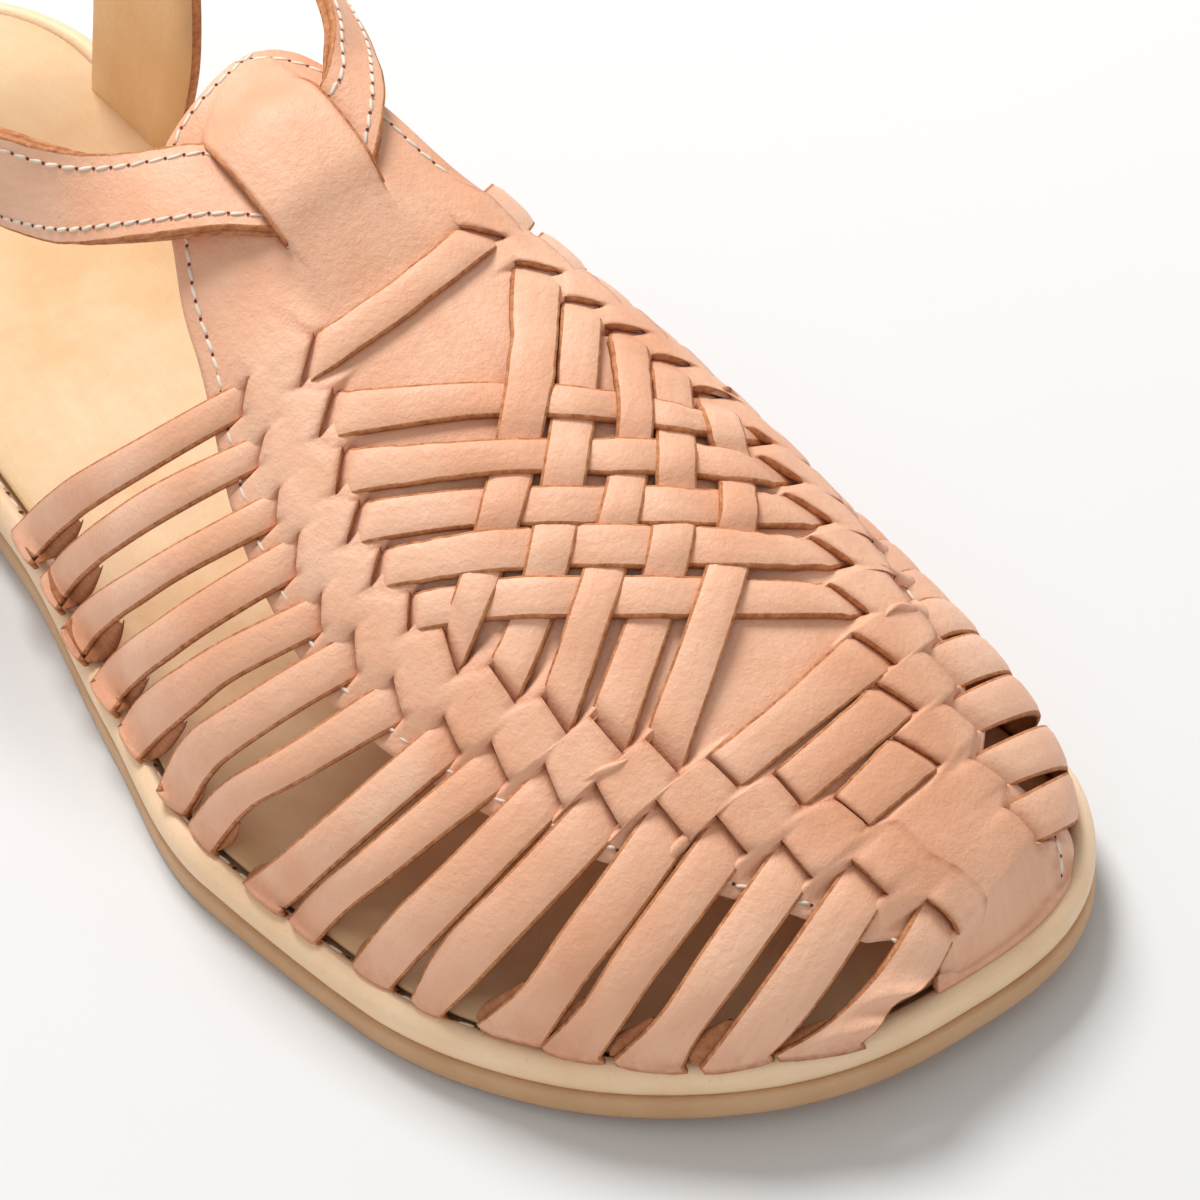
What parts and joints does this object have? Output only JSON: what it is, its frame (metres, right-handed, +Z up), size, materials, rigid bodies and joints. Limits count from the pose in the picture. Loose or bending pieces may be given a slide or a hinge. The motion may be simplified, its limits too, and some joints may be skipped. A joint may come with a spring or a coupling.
{
  "type": "huarache sandal",
  "caption": "Right huarache sandal with woven closed toe, laced side straps, ankle strap through the tongue and a flat slip-lasted sole.",
  "frame": {"origin": "centre of the bounding box at the floor", "axes": "+X from heel to toe, +Y from lateral to medial, +Z up"},
  "size_m": [0.255, 0.0979, 0.0817],
  "materials": {
    "outsole": "matt tan outsole",
    "midsole": "smooth tan leather wrapped over the rim",
    "insole": "smooth undyed sock leather",
    "upper": "vegetable tanned leather with raw cut edges",
    "medial_loop": "lined vegetable tanned leather",
    "lateral_loop": "lined vegetable tanned leather",
    "ankle_strap": "two layers of leather with white edge stitching",
    "buckle": "satin brass",
    "strap_keeper": "vegetable tanned leather"
  },
  "bodies": {
    "root": {"outsole": "outsole", "midsole": "midsole", "insole": "insole", "upper": "upper", "medial_loop": "medial_loop", "lateral_loop": "lateral_loop", "ankle_strap": "ankle_strap", "buckle_frame": "buckle", "buckle_prong": "buckle", "strap_keeper": "strap_keeper"}
  },
  "joints": []
}
